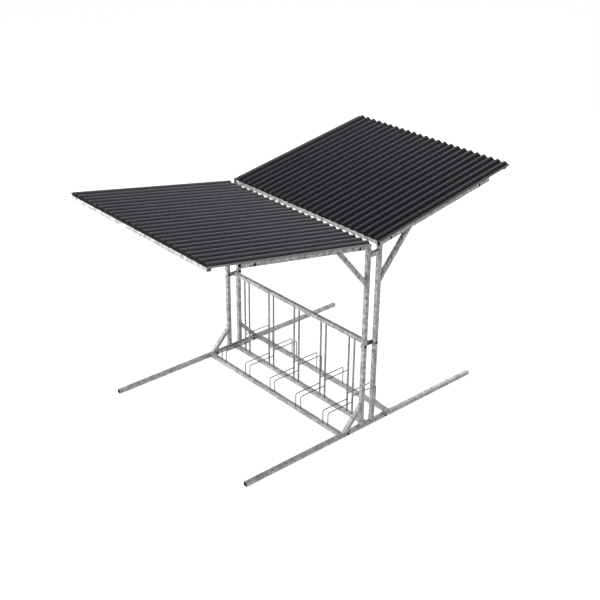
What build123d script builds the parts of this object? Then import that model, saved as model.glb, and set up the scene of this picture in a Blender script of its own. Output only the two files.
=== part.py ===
"""Two-sided bike shelter: two end frames of square tube, a wheel rack between them and a butterfly roof.

X runs along the rack from the far end frame to the near one, Y across it from the front row of
wheels to the back row, and Z is up. The origin is on the ground at the middle of the shelter.
"""

import os
from math import atan, cos, floor, pi, radians, sin, tan

from build123d import *

os.makedirs("parts", exist_ok=True)

# End frames
frame_spacing = 2275
beam_size = 45
beam_wall = 3
beam_corner = 4
beam_length = 3330
post_size = 45
post_wall = 3
post_corner = 4
post_spacing = 157
crossbar_size = 45
crossbar_wall = 3
crossbar_corner = 3
crossbar_drop = 55

# Braces of the end frames
foot_brace_size = 45
foot_brace_wall = 3
foot_brace_corner = 3
foot_brace_reach = 220
foot_brace_rise = 230
roof_brace_size = 45
roof_brace_wall = 3
roof_brace_corner = 3
roof_brace_reach = 377
roof_brace_drop = 355

# Wheel rack
rail_size = 45
rail_wall = 2
rail_corner = 3
low_rail_place = 357
top_rail_height = 1000
plate_thickness = 6
plate_overlap = 23
rack_plate_height = 50
low_bolt_place = 284
wheel_count = 5
wheel_pitch = 440
upright_size = 15
upright_wall = 1.5
upright_pair = 80
hoop_rod = 10
hoop_bend = 22
front_hoop_height = 191
back_hoop_height = 260

# Roof
roof_slope = 10
roof_height = 2085
rafter_size = 45
rafter_wall = 3
rafter_corner = 3
rafter_start = 57
rafter_end = 1690
purlin_size = 45
purlin_wall = 2
purlin_corner = 3
purlin_inset = 157
edge_tube_size = 50
edge_tube_wall = 2
edge_tube_corner = 3
sheet_overhang = 2.5
sheet_start = 52
sheet_length = 2000
sheet_thickness = 3
wave_pitch = 95
wave_depth = 26
lip_least = 20
sheet_clearance = 0.3

# Places worked out from the sizes above
frame_places = {"near": frame_spacing / 2, "far": -frame_spacing / 2}
frame_signs = {"near": 1, "far": -1}
side_signs = {"front": -1, "back": 1}
slope_sin = sin(radians(roof_slope))
slope_cos = cos(radians(roof_slope))
slope_tan = tan(radians(roof_slope))
post_face = post_spacing / 2 + post_size / 2
beam_face = frame_spacing / 2 - beam_size / 2
post_inner_face = frame_spacing / 2 - post_size / 2
roof_deck = rafter_size


def save(part, name):
    """Label a finished piece and write its STEP file."""
    part.label = name
    export_step(part, f"parts/{name}.step")


def tube_section(size, wall, corner):
    """Draw the section of a square tube in the sketch that is open."""
    RectangleRounded(size, size, corner)
    RectangleRounded(size - 2 * wall, size - 2 * wall, max(corner - wall, wall / 2), mode=Mode.SUBTRACT)


def across(x, y_start, z):
    """A plane for a section whose tube runs along Y."""
    return Plane(origin=(x, y_start, z), x_dir=(1, 0, 0), z_dir=(0, 1, 0))


def along(x_start, y, z):
    """A plane for a section whose tube runs along X."""
    return Plane(origin=(x_start, y, z), x_dir=(0, 1, 0), z_dir=(1, 0, 0))


def roof_underside(side):
    """The slanted plane under the rafters of one roof half, facing up."""
    return Plane(origin=(0, 0, roof_height), x_dir=(1, 0, 0), z_dir=(0, -side * slope_sin, slope_cos))


def up_slope(side, x, distance, rise):
    """A plane across the slope of one roof half, with its local Y square to the roof."""
    y = side * (distance * slope_cos - rise * slope_sin)
    z = roof_height + distance * slope_sin + rise * slope_cos
    return Plane(origin=(x, y, z), x_dir=(-side, 0, 0), z_dir=(0, side * slope_cos, slope_sin))


def level_across(side, x, distance, rise):
    """A plane for a tube that runs along X in the roof, turned to the slope."""
    y = side * (distance * slope_cos - rise * slope_sin)
    z = roof_height + distance * slope_sin + rise * slope_cos
    return Plane(origin=(x, y, z), x_dir=(0, slope_cos, side * slope_sin), z_dir=(1, 0, 0))


# Ground beams and posts
for end, x in frame_places.items():
    with BuildPart() as ground_beam:
        with BuildSketch(across(x, -beam_length / 2, beam_size / 2)):
            tube_section(beam_size, beam_wall, beam_corner)
        extrude(amount=beam_length)
    save(ground_beam.part, f"ground_beam_{end}")

    for row, side in side_signs.items():
        y = side * post_spacing / 2
        with BuildPart() as post:
            with BuildSketch(Plane.XY.offset(beam_size)):
                with Locations((x, y)):
                    tube_section(post_size, post_wall, post_corner)
            extrude(amount=roof_height + post_face)
            split(bisect_by=roof_underside(side), keep=Keep.BOTTOM)
        save(post.part, f"post_{end}_{row}")

# Crossbars that tie each pair of posts under the roof
crossbar_length = post_spacing - post_size
crossbar_height = roof_height - crossbar_drop
for end, x in frame_places.items():
    with BuildPart() as crossbar:
        with BuildSketch(across(x, -crossbar_length / 2, crossbar_height)):
            tube_section(crossbar_size, crossbar_wall, crossbar_corner)
        extrude(amount=crossbar_length)
    save(crossbar.part, f"crossbar_{end}")

# Foot braces from the posts down to the ground beams
for end, x in frame_places.items():
    for row, side in side_signs.items():
        middle_y = side * (post_face + foot_brace_reach / 2)
        middle_z = beam_size + foot_brace_rise / 2
        brace_line = Vector(0, side * foot_brace_reach, -foot_brace_rise)
        with BuildPart() as foot_brace:
            with BuildSketch(Plane(origin=(x, middle_y, middle_z), x_dir=(1, 0, 0), z_dir=brace_line)):
                tube_section(foot_brace_size, foot_brace_wall, foot_brace_corner)
            extrude(amount=brace_line.length, both=True)
            split(bisect_by=Plane.XY.offset(beam_size), keep=Keep.TOP)
            split(bisect_by=Plane(origin=(x, side * post_face, 0), z_dir=(0, side, 0)), keep=Keep.TOP)
        save(foot_brace.part, f"foot_brace_{end}_{row}")

# Roof braces from the posts up to the rafters
roof_brace_top = roof_height + (post_face + roof_brace_reach) * slope_tan
roof_brace_foot = roof_height - roof_brace_drop
roof_brace_rise = roof_brace_top - roof_brace_foot
for end, x in frame_places.items():
    for row, side in side_signs.items():
        middle_y = side * (post_face + roof_brace_reach / 2)
        middle_z = roof_brace_foot + roof_brace_rise / 2
        brace_line = Vector(0, side * roof_brace_reach, roof_brace_rise)
        with BuildPart() as roof_brace:
            with BuildSketch(Plane(origin=(x, middle_y, middle_z), x_dir=(1, 0, 0), z_dir=brace_line)):
                tube_section(roof_brace_size, roof_brace_wall, roof_brace_corner)
            extrude(amount=brace_line.length, both=True)
            split(bisect_by=roof_underside(side), keep=Keep.BOTTOM)
            split(bisect_by=Plane(origin=(x, side * post_face, 0), z_dir=(0, side, 0)), keep=Keep.TOP)
        save(roof_brace.part, f"roof_brace_{end}_{row}")

# Low rails of the rack, the outer two with a bolting plate welded to each end
outer_rail_length = 2 * (beam_face - plate_thickness)
plate_outer = low_rail_place + rail_size / 2
plate_inner = low_bolt_place - plate_overlap
for row, side in side_signs.items():
    with BuildPart() as low_rail:
        with BuildSketch(along(-outer_rail_length / 2, side * low_rail_place, rail_size / 2)):
            tube_section(rail_size, rail_wall, rail_corner)
        extrude(amount=outer_rail_length)
        for sign in frame_signs.values():
            with BuildSketch(along(sign * beam_face, side * (plate_outer + plate_inner) / 2, rail_size / 2)):
                Rectangle(plate_outer - plate_inner, rail_size)
            extrude(amount=-sign * plate_thickness)
    save(low_rail.part, f"low_rail_{row}")

with BuildPart() as centre_rail:
    with BuildSketch(along(-beam_face, 0, rail_size / 2)):
        tube_section(rail_size, rail_wall, rail_corner)
    extrude(amount=2 * beam_face)
save(centre_rail.part, "centre_rail")

# Top rail between the posts, with a plate welded to each end and bolted to a pair of posts
top_rail_length = 2 * (post_inner_face - plate_thickness)
with BuildPart() as top_rail:
    with BuildSketch(along(-top_rail_length / 2, 0, top_rail_height)):
        tube_section(rail_size, rail_wall, rail_corner)
    extrude(amount=top_rail_length)
    for sign in frame_signs.values():
        with BuildSketch(along(sign * post_inner_face, 0, top_rail_height)):
            Rectangle(post_spacing + post_size, rack_plate_height)
        extrude(amount=-sign * plate_thickness)
save(top_rail.part, "top_rail")

# Pairs of uprights that hold each wheel
upright_length = top_rail_height - rail_size / 2 - rail_size
upright_bore = upright_size - 2 * upright_wall
first_wheel = -wheel_pitch * (wheel_count - 1) / 2
for number in range(wheel_count):
    wheel_x = first_wheel + number * wheel_pitch
    with BuildPart() as uprights:
        with BuildSketch(Plane.XY.offset(rail_size)):
            with Locations((wheel_x - upright_pair / 2, 0), (wheel_x + upright_pair / 2, 0)):
                Rectangle(upright_size, upright_size)
                Rectangle(upright_bore, upright_bore, mode=Mode.SUBTRACT)
        extrude(amount=upright_length)
    save(uprights.part, f"wheel_uprights_{number + 1}")

# Bent rods that guide each wheel, low in the front row and high in the back row
hoop_heights = {"front": front_hoop_height, "back": back_hoop_height}
for row, side in side_signs.items():
    leg_y = side * low_rail_place
    rod_height = hoop_heights[row]
    with BuildPart() as hoops:
        for number in range(wheel_count):
            for half in (-1, 1):
                rod_x = first_wheel + number * wheel_pitch + half * upright_pair / 2
                with BuildLine() as route:
                    FilletPolyline(
                        (rod_x, leg_y, rail_size),
                        (rod_x, leg_y, rod_height),
                        (rod_x, side * upright_size / 2, rod_height),
                        radius=hoop_bend,
                    )
                with BuildSketch(Plane(origin=(rod_x, leg_y, rail_size), z_dir=(0, 0, 1))):
                    Circle(hoop_rod / 2)
                sweep(path=route.line)
    save(hoops.part, f"wheel_hoops_{row}")

# Rafters, purlins and edge tubes of the two roof halves
rafter_low = rafter_start / slope_cos + rafter_size * slope_tan
rafter_high = rafter_end / slope_cos
purlin_length = frame_spacing - rafter_size
sheet_low = sheet_start / slope_cos + rafter_size * slope_tan
for row, side in side_signs.items():
    for end, x in frame_places.items():
        with BuildPart() as rafter:
            with BuildSketch(up_slope(side, x, rafter_low, rafter_size / 2)):
                tube_section(rafter_size, rafter_wall, rafter_corner)
            extrude(amount=rafter_high - rafter_low)
        save(rafter.part, f"rafter_{end}_{row}")

    purlin_places = {
        "valley_purlin": rafter_low + purlin_size / 2,
        "inner_purlin": rafter_low + purlin_inset,
        "outer_purlin": rafter_high - purlin_inset,
    }
    for name, distance in purlin_places.items():
        with BuildPart() as purlin:
            with BuildSketch(level_across(side, -purlin_length / 2, distance, roof_deck - purlin_size / 2)):
                tube_section(purlin_size, purlin_wall, purlin_corner)
            extrude(amount=purlin_length)
        save(purlin.part, f"{name}_{row}")

    edge_distance = sheet_low + sheet_length - edge_tube_size / 2
    edge_rise = roof_deck - edge_tube_size / 2
    with BuildPart() as edge_tube:
        with BuildSketch(level_across(side, -purlin_length / 2, edge_distance, edge_rise)):
            tube_section(edge_tube_size, edge_tube_wall, edge_tube_corner)
        extrude(amount=purlin_length)
    save(edge_tube.part, f"edge_tube_{row}")

# Corrugated roof sheets: round crests and troughs with straight flanks, as steep as a sine wave's
sheet_edge = frame_spacing / 2 + rafter_size / 2 + sheet_overhang
wave_count = floor(2 * (sheet_edge - lip_least) / wave_pitch)
last_trough = wave_count * wave_pitch / 2
flank = atan(pi * wave_depth / wave_pitch)
bend_radius = (wave_pitch / 2 * sin(flank) - wave_depth * cos(flank)) / (1 - cos(flank)) / 2
flank_peak = wave_pitch / 4 * tan(flank)
wave_middle = (wave_depth + sheet_thickness) / 2


def wave_line(offset):
    """Draw one face of the corrugation, between the flat lips at its side edges."""
    shift = offset / cos(flank)
    crest_radius = bend_radius + offset
    trough_radius = bend_radius - offset
    lip_height = sheet_thickness / 2 + offset
    lip_start = last_trough - trough_radius * tan(flank / 2)
    points = [(-sheet_edge, lip_height), (-lip_start, lip_height)]
    radii = [trough_radius]
    for number in range(wave_count):
        trough = number * wave_pitch - last_trough
        if number > 0:
            points.append((trough, wave_middle + shift - flank_peak))
            radii.append(trough_radius)
        points.append((trough + wave_pitch / 2, wave_middle + shift + flank_peak))
        radii.append(crest_radius)
    points += [(lip_start, lip_height), (sheet_edge, lip_height)]
    radii.append(trough_radius)
    return FilletPolyline(points, radius=radii)


for row, side in side_signs.items():
    with BuildPart() as roof_sheet:
        with BuildSketch(up_slope(side, 0, sheet_low, roof_deck + sheet_clearance)):
            with BuildLine():
                top = wave_line(sheet_thickness / 2)
                bottom = wave_line(-sheet_thickness / 2)
                Line(top @ 0, bottom @ 0)
                Line(top @ 1, bottom @ 1)
            make_face()
        extrude(amount=sheet_length)
    save(roof_sheet.part, f"roof_sheet_{row}")
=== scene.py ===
"""Finishes, fasteners, welds and studio stage of a two-sided bike shelter.

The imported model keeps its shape. Its pieces get their finishes here, and the bolts, roof screws, foam
fillers, drip strips, end plugs and weld beads that the model leaves out are set on it. Lengths are in
metres.
"""

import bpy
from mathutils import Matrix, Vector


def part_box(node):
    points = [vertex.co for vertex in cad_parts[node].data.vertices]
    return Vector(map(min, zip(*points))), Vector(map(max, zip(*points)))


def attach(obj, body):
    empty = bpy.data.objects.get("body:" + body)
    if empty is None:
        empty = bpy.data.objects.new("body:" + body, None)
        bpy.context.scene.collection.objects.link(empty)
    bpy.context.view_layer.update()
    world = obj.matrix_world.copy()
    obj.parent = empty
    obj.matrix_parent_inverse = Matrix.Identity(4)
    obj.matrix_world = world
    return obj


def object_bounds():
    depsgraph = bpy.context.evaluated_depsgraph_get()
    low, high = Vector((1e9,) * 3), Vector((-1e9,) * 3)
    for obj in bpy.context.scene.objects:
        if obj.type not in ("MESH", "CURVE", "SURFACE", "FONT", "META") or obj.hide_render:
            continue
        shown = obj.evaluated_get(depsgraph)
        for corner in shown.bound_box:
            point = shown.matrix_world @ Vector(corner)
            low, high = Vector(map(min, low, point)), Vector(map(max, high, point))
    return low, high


bl_info = {
    "name": "Bike Shelter",
    "version": (1, 0, 0),
    "blender": (4, 5, 0),
    "location": "View3D > Sidebar > Bike Shelter",
    "description": "Finishes, fasteners, welds and a studio stage for a two-sided bike shelter",
    "category": "Object",
}

import math

import bmesh
import bpy
from mathutils import Matrix, Vector

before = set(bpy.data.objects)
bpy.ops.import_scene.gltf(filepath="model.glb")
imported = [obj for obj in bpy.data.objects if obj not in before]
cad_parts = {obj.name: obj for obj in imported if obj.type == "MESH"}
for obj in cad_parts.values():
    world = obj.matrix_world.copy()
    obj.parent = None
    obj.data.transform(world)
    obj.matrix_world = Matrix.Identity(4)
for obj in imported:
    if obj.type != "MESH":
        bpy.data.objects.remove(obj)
cad_low, cad_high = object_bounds()

ALONG, ACROSS, UPWARD = Vector((1, 0, 0)), Vector((0, 1, 0)), Vector((0, 0, 1))

# Names of the ends and rows, with the side of the middle that each one lies on
ENDS = {"near": 1, "far": -1}
ROWS = {"front": -1, "back": 1}
WHEELS = range(1, 6)

# Sizes of the model's pieces that the added ones are set by
ROOF_SLOPE = math.radians(10)
RAFTER_SIZE = 0.045
RAFTER_BORE = 0.039
RAIL_SIZE = 0.045
UPRIGHT_SIZE = 0.015
HOOP_RADIUS = 0.005
PLATE_THICKNESS = 0.006
PLATE_MARGIN = 0.023
SHEET_THICKNESS = 0.003
SHEET_CLEARANCE = 0.0003
WAVE_PITCH = 0.095
WAVE_DEPTH = 0.026
WAVE_EDGE = 0.070
BEAM_OUTSIDE = 0.045
BEAM_CORNER = 0.004
BORE_CORNER = 0.0015
EDGE_TUBE_BORE = 0.046
CARRIER_SIZES = {
    "valley_purlin": 0.045,
    "inner_purlin": 0.045,
    "outer_purlin": 0.045,
    "edge_tube": 0.050,
}

# Clearances of added pieces, and how unevenly the ripples of a weld swell
PLUG_FIT = 0.0004
STRIP_FIT = 0.0003
RIPPLE_RANGE = (0.75, 1.15)
RIPPLE_LIMIT = 1.2

# The kinds of model piece that take each finish
NODE_FINISHES = {
    "Galvanised Tube": ("ground_beam", "post", "crossbar", "foot_brace", "roof_brace", "rafter"),
    "Galvanised Valley Painted Light": ("valley_purlin",),
    "Galvanised Purlin": ("inner_purlin", "outer_purlin", "edge_tube"),
    "Galvanised Rack": ("low_rail", "centre_rail", "top_rail"),
    "Galvanised Upright": ("wheel_uprights",),
    "Galvanised Rod Painted Shade": ("wheel_hoops",),
    "Roof Sheet": ("roof_sheet",),
}

# Crystal size and patch size of each zinc finish, as shares of the spangle, and its brightness. The valley
# purlin's raised brightness is painted light, and the hoop rods' low brightness is painted shade.
ZINC_FINISHES = {
    "Galvanised Tube": (1.0, 2.2, 1.0),
    "Galvanised Purlin": (1.0, 2.2, 0.98),
    # The valley purlin's zinc is painted brighter, as painted light for the light it takes through the valley
    # gap
    "Galvanised Valley Painted Light": (1.0, 2.2, 1.12),
    "Galvanised Rack": (0.8, 1.8, 0.95),
    "Galvanised Upright": (0.6, 1.4, 0.66),
    # The hoop rods' zinc is painted far darker than the tubes', as painted shade on the thin rods
    "Galvanised Rod Painted Shade": (0.4, 1.0, 0.20),
    "Galvanised Weld": (0.3, 0.8, 0.45),
}

# Colour setting, grain size and range of roughness of each black finish
BLACK_FINISHES = {
    "Black Steel": ("black_steel", 0.0009, 0.30, 0.45),
    "Black Foam": ("black_plastic", 0.0018, 0.75, 0.95),
    "Black Plastic": ("black_plastic", 0.0006, 0.42, 0.60),
}

# Stage: azimuth and elevation of the lights in degrees, and sizes
KEY_LIGHT = (-38, 16)
BACK_LIGHT = (196, 34)
LIGHT_DISTANCE = 10.0
LIGHT_SIZE = 5.0
FLOOR_RADIUS = 60.0
FLOOR_SIDES = 96
WHITE = (1.0, 1.0, 1.0, 1.0)


# Settings


def number(name, description, default, **options):
    """A number that can be set."""
    return bpy.props.FloatProperty(name=name, description=description, default=default, **options)


def length(name, description, default):
    """A length that can be set."""
    return number(name, description, default, unit="LENGTH")


def angle(name, description, degrees):
    """An angle that can be set."""
    return number(name, description, math.radians(degrees), subtype="ANGLE")


def power(name, description, watts):
    """The power of a light, which can be set."""
    return number(name, description, watts, subtype="POWER", min=0)


def colour(name, coloured, default):
    """A colour that can be set."""
    return bpy.props.FloatVectorProperty(
        name=name, description=f"Colour of {coloured}", subtype="COLOR", default=default
    )


class ShelterFinishes(bpy.types.PropertyGroup):
    """Colours of the shelter's finishes, with the painted highlights of the roof sheets and the painted shade
    of the rack plates, and the size of the zinc crystals
    """

    zinc_light: colour("Light zinc", "the brightest crystals on the galvanised tubes", (0.60, 0.60, 0.605))
    zinc_dark: colour("Dark zinc", "the dullest crystals on the galvanised tubes", (0.083, 0.083, 0.085))
    # Painted highlight on the crests of the back roof sheet
    sheet_crest_highlight: colour("Crest highlight", "the worn crests of the back roof sheet", (0.100, 0.101, 0.115))
    sheet_dark: colour("Dark sheet", "the troughs of the roof sheets", (0.0160, 0.0165, 0.0205))
    # Painted highlight on the crests of the front roof sheet, brighter than the back's as painted light
    sheet_front_crest_highlight: colour("Front crest highlight", "the worn crests of the front roof sheet", (0.205, 0.207, 0.230))
    # Painted highlight on the flat lips at the side edges of the sheets
    sheet_lip_highlight: colour("Sheet lip highlight", "the flat lips at the side edges of the sheets", (0.30, 0.292, 0.312))
    # Painted shade on the rack plates' outer faces, between the plates and the posts
    plate_shade: colour("Plate shade", "the rack plates where they bear on the posts", (0.060, 0.060, 0.062))
    black_steel: colour("Black steel", "the blackened bolts, nuts and washers", (0.006, 0.006, 0.0065))
    black_plastic: colour("Black plastic", "the plugs, foam and rubber strips", (0.005, 0.005, 0.005))
    dust: colour("Dust", "the dust near the ground", (0.39, 0.378, 0.36))
    spangle: length("Spangle", "Width of a zinc crystal", 0.022)


class ShelterFasteners(bpy.types.PropertyGroup):
    """Sizes of the bolts, roof screws, fillers, strips and plugs"""

    bolt_head: length("Bolt head", "Height of a bolt's low round head", 0.0024)
    bolt_flange: length("Bolt flange", "Radius of the flange round a bolt head", 0.017)
    bolt_socket: length("Bolt socket", "Width of a bolt's hexagon socket between opposite flats", 0.008)
    bolt_drop: length("Bolt drop", "How far the bolts lie below the middle of a rafter or beam", 0.003)
    nut_flats: length("Nut across flats", "Width of a nut between opposite flats", 0.019)
    nut_washer: length("Nut washer", "Radius of the washer under a nut", 0.013)
    nut_height: length("Nut height", "Height of a nut", 0.010)
    screw_flats: length("Screw across flats", "Width of a roof screw's head between opposite flats", 0.008)
    screw_washer: length("Screw washer", "Radius of the sealing washer under a roof screw", 0.007)
    screw_every: bpy.props.IntProperty(
        name="Screw spacing", description="Troughs from one roof screw to the next", default=3, min=1
    )
    filler_length: length("Filler length", "How far the foam reaches in from the end of a sheet", 0.024)
    filler_gap: length("Filler gap", "Space between the foam and the roof sheet", 0.0012)
    strip_height: length("Drip strip height", "Height of the rubber strip on an edge tube", 0.011)
    strip_thickness: length("Drip strip thickness", "Thickness of the rubber strip on an edge tube", 0.0022)
    plug_recess: length("Plug recess", "How far the plugs lie inside the ends of the rafters", 0.012)
    plug_flange: length("Plug flange", "Thickness of an end plug's flange", 0.003)


class ShelterWelds(bpy.types.PropertyGroup):
    """Sizes of the weld beads"""

    frame_bead: length("Frame bead", "Radius of the beads on the end frames", 0.0032)
    rack_bead: length("Rack bead", "Radius of the beads on the wheel rack", 0.0020)
    upright_bead: length("Upright bead", "Radius of the heavy beads at the tops of the uprights", 0.0055)
    ripple_pitch: length("Ripple pitch", "Length of one ripple of a bead", 0.0026)
    ripple_share: number(
        "Ripple share", "Swell of a ripple, as a share of the radius", 0.16, subtype="FACTOR", min=0, max=1
    )


class ShelterStage(bpy.types.PropertyGroup):
    """Floor, lights and camera"""

    floor_colour: colour("Floor", "the pale studio floor", (0.30, 0.30, 0.30))
    floor_glow: number("Floor glow", "Light that the floor gives off, which softens shadows", 0.90, min=0)
    sky_light: number("Sky light", "Strength of the even light from all round", 0.30, min=0)
    key_power: power("Key light", "Power of the large light in front of the shelter", 1050)
    back_power: power("Back light", "Power of the large light behind the shelter", 750)
    azimuth: angle("Azimuth", "Turn of the camera round the shelter from the front row", 49.016)
    elevation: angle("Elevation", "Height of the camera above the horizon", 28.087)
    roll: angle("Roll", "Turn of the camera about its own axis", 0.270)
    target: bpy.props.FloatVectorProperty(
        name="Target",
        description="Point that the camera's axis passes through",
        subtype="TRANSLATION",
        default=(0.4279, -0.5186, 1.1475),
    )
    distance: length("Distance", "From the camera to its target", 10.932)
    lens: number("Lens", "Focal length of the camera in millimetres", 62.838)
    shift: bpy.props.FloatVectorProperty(
        name="Shift",
        description="Shift of the camera's frame across and up, as a share of its width",
        size=2,
        default=(0.02217, 0.03710),
    )


class ShelterSettings(bpy.types.PropertyGroup):
    """Everything about the shelter that a user would change"""

    finishes: bpy.props.PointerProperty(type=ShelterFinishes)
    fasteners: bpy.props.PointerProperty(type=ShelterFasteners)
    welds: bpy.props.PointerProperty(type=ShelterWelds)
    stage: bpy.props.PointerProperty(type=ShelterStage)


# Node trees

FLOAT = "NodeSocketFloat"
GEOMETRY = "NodeSocketGeometry"
SEED = {"Seed": "NodeSocketInt"}


def feed(tree, node, inputs):
    """Link or set a node's inputs by name or number."""
    for name, value in inputs.items():
        if isinstance(value, bpy.types.NodeSocket):
            tree.links.new(value, node.inputs[name])
        else:
            node.inputs[name].default_value = value


def add_node(tree, kind, inputs=None, **options):
    """Add a node, set its options and feed its inputs."""
    made = tree.nodes.new(kind)
    for name, value in options.items():
        setattr(made, name, value)
    feed(tree, made, inputs or {})
    return made


def first_of(tree, kind, inputs=None, **options):
    """The first output of a node that is added."""
    return add_node(tree, kind, inputs, **options).outputs[0]


def maths(tree, operation, first, second=0.0):
    """The result of one sum on two sockets or numbers."""
    return first_of(tree, "ShaderNodeMath", {0: first, 1: second}, operation=operation)


def plus(tree, first, second):
    """Two sockets or numbers added."""
    return maths(tree, "ADD", first, second)


def times(tree, first, second):
    """Two sockets or numbers multiplied."""
    return maths(tree, "MULTIPLY", first, second)


def spread(tree, value, low=0.0, high=1.0, to_low=0.0, to_high=1.0, **options):
    """A value moved from one range to another and kept inside it."""
    ranges = {"Value": value, "From Min": low, "From Max": high, "To Min": to_low, "To Max": to_high}
    return first_of(tree, "ShaderNodeMapRange", ranges, **options)


def clamp(tree, value):
    """A value kept between 0 and 1."""
    return first_of(tree, "ShaderNodeClamp", {"Value": value})


def noise(tree, place, scale, detail, roughness=0.5):
    """Cloudy noise from 0 to 1."""
    inputs = {"Vector": place, "Scale": scale, "Detail": detail, "Roughness": roughness}
    return first_of(tree, "ShaderNodeTexNoise", inputs)


def object_place(tree):
    """The object coordinates."""
    return add_node(tree, "ShaderNodeTexCoord").outputs["Object"]


def split(tree, vector):
    """The X, Y and Z of a vector."""
    return add_node(tree, "ShaderNodeSeparateXYZ", {0: vector}).outputs


def combined(tree, **parts):
    """A vector from its X, Y or Z."""
    return first_of(tree, "ShaderNodeCombineXYZ", parts)


def new_tree(name, kind, inputs, outputs):
    """A node group with named sockets, and its own input and output nodes."""
    tree = bpy.data.node_groups.new(name, kind)
    for label, socket_type in inputs.items():
        tree.interface.new_socket(label, in_out="INPUT", socket_type=socket_type)
    for label, socket_type in outputs.items():
        tree.interface.new_socket(label, in_out="OUTPUT", socket_type=socket_type)
    given = tree.nodes.new("NodeGroupInput").outputs
    return tree, given, tree.nodes.new("NodeGroupOutput")


# Shader groups that several finishes share


def shader_tree(name, inputs, outputs):
    """A shader group with number sockets."""
    return new_tree(
        name, "ShaderNodeTree", dict.fromkeys(inputs, FLOAT), dict.fromkeys(outputs, FLOAT)
    )


def zinc_spangle_group():
    """Crystals and cloudy patches of hot-dip zinc, by object coordinates."""
    tree, given, result = shader_tree(
        "Zinc Spangle", ("Crystal Size", "Patch Size"), ("Shade", "Grain", "Height")
    )
    crystal_part, flake_part, cloud_part = 0.30, 0.18, 0.52
    flakes_per_crystal = 2.7
    place = object_place(tree)
    crystals_per_metre = maths(tree, "DIVIDE", 1.0, given["Crystal Size"])
    patches_per_metre = maths(tree, "DIVIDE", 1.0, given["Patch Size"])
    wobble = add_node(
        tree, "ShaderNodeTexNoise", {"Vector": place, "Scale": crystals_per_metre, "Detail": 2.0}
    ).outputs["Color"]
    centred = first_of(tree, "ShaderNodeVectorMath", {0: wobble, 1: (0.5, 0.5, 0.5)}, operation="SUBTRACT")
    reach = first_of(
        tree, "ShaderNodeVectorMath", {0: centred, "Scale": given["Crystal Size"]}, operation="SCALE"
    )
    bent = first_of(tree, "ShaderNodeVectorMath", {0: place, 1: reach}, operation="ADD")
    crystal = add_node(tree, "ShaderNodeTexVoronoi", {"Vector": bent, "Scale": crystals_per_metre})
    flakes_per_metre = times(tree, crystals_per_metre, flakes_per_crystal)
    flake = add_node(tree, "ShaderNodeTexVoronoi", {"Vector": bent, "Scale": flakes_per_metre})
    patch = noise(tree, place, patches_per_metre, detail=3.0, roughness=0.6)
    crystal_shade = first_of(tree, "ShaderNodeSeparateColor", {0: crystal.outputs["Color"]})
    flake_shade = add_node(tree, "ShaderNodeSeparateColor", {0: flake.outputs["Color"]}).outputs[1]
    both = plus(tree, times(tree, crystal_shade, crystal_part), times(tree, flake_shade, flake_part))
    cloud = times(tree, spread(tree, patch, low=0.36, high=0.64), cloud_part)
    ridge_height, patch_height = 0.5, 0.8
    ridge = times(tree, crystal.outputs["Distance"], ridge_height)
    height = plus(tree, ridge, times(tree, patch, patch_height))
    feed(tree, result, {"Shade": plus(tree, both, cloud), "Grain": flake_shade, "Height": height})
    return tree


def ground_dust_group():
    """Dust that thins out with height above the ground."""
    tree, given, result = shader_tree("Ground Dust", ("Reach", "Amount"), ("Mask",))
    place = object_place(tree)
    height = split(tree, place)["Z"]
    fade = spread(tree, height, 0.0, given["Reach"], to_low=1.0, to_high=0.0, interpolation_type="SMOOTHSTEP")
    specks_per_metre = 38.0
    specks = noise(tree, place, specks_per_metre, detail=5.0, roughness=0.65)
    feed(tree, result, {"Mask": times(tree, times(tree, fade, specks), given["Amount"])})
    return tree


def fine_grain_group():
    """Small even grain, for the roof sheets, plastic, foam and blackened steel."""
    tree, given, result = shader_tree("Fine Grain", ("Grain Size",), ("Shade", "Height"))
    grains_per_blotch = 24.0
    place = object_place(tree)
    grains_per_metre = maths(tree, "DIVIDE", 1.0, given["Grain Size"])
    grain = noise(tree, place, grains_per_metre, detail=4.0)
    blotches_per_metre = maths(tree, "DIVIDE", grains_per_metre, grains_per_blotch)
    blotch = noise(tree, place, blotches_per_metre, detail=3.0)
    feed(tree, result, {"Shade": times(tree, plus(tree, grain, blotch), 0.5), "Height": grain})
    return tree


def add_group(tree, name, build, inputs):
    """Add a shared shader group, built the first time it is asked for."""
    group = bpy.data.node_groups.get(name) or build()
    return add_node(tree, "ShaderNodeGroup", inputs, node_tree=group).outputs


# Finishes


def new_material(name):
    """An empty material with a Principled shader joined to its output."""
    material = bpy.data.materials.new(name)
    material.use_nodes = True
    tree = material.node_tree
    tree.nodes.clear()
    shader = add_node(tree, "ShaderNodeBsdfPrincipled")
    add_node(tree, "ShaderNodeOutputMaterial", {"Surface": shader.outputs["BSDF"]})
    return material, tree, shader


def add_bump(tree, shader, height, distance, strength):
    """Feed a height to the shader's normal."""
    inputs = {"Height": height, "Distance": distance, "Strength": strength}
    feed(tree, shader, {"Normal": first_of(tree, "ShaderNodeBump", inputs)})


def blend_colours(tree, share, first, second):
    """A colour between two, by a share from 0 to 1."""
    ends = [end if isinstance(end, bpy.types.NodeSocket) else (*end, 1.0) for end in (first, second)]
    inputs = {"Factor": share, 6: ends[0], 7: ends[1]}
    return add_node(tree, "ShaderNodeMix", inputs, data_type="RGBA").outputs[2]


def plate_shade_mask(tree):
    """Where the rack's end plates bear on the posts, from 0 to 1, which gets painted shade."""
    across = maths(tree, "ABSOLUTE", split(tree, object_place(tree))["X"])
    plate_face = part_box("top_rail")[1].x
    fade_start, fade_end = 0.0010, 0.0002
    return spread(tree, across, plate_face - fade_start, plate_face - fade_end)


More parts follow.
